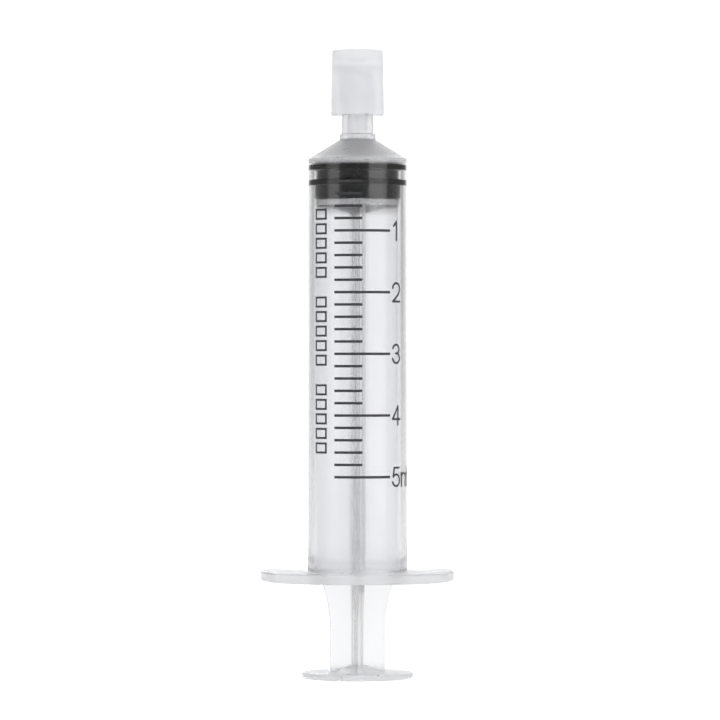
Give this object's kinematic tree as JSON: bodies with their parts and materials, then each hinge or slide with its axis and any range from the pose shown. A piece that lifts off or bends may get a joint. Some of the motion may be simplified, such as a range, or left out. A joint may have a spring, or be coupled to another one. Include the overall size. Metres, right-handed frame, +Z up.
{
  "type": "oral syringe",
  "caption": "Translucent oral dosing syringe with printed scale, finger flange, cross-shaped plunger rod, rubber piston and push-on tip cap.",
  "frame": {"origin": "centre of the thumb disc's lower face, which is what the syringe stands on", "axes": "+Z up the barrel's axis towards the tip, +X along the finger flange's wings, -Y towards the printed scale"},
  "size_m": [0.027, 0.0154, 0.0878],
  "materials": {
    "barrel_plastic": "clear natural polypropylene, slightly hazy",
    "rod_plastic": "natural polypropylene, milky and satin",
    "piston_rubber": "black moulded rubber, siliconed satin",
    "cap_plastic": "natural polypropylene, satin",
    "ink": "black printing ink"
  },
  "bodies": {
    "barrel": {"barrel": "barrel_plastic", "graduation_print": "ink", "label_print": "ink"},
    "piston": {"piston": "piston_rubber"},
    "plunger": {"plunger_rod": "rod_plastic"},
    "cap": {"tip_cap": "cap_plastic"}
  },
  "joints": [
    {"name": "piston_slide", "type": "slide", "parent": "barrel", "child": "piston", "axis": [0, 0, -1], "range_m": [0, 0.05]},
    {"name": "rod_turn", "type": "hinge", "parent": "piston", "child": "plunger", "pos_m": [0, 0, 0.06695], "axis": [0, 0, 1], "continuous": true},
    {"name": "cap_pull", "type": "slide", "parent": "barrel", "child": "cap", "axis": [0, 0, 1], "range_m": [0, 0.02]}
  ]
}
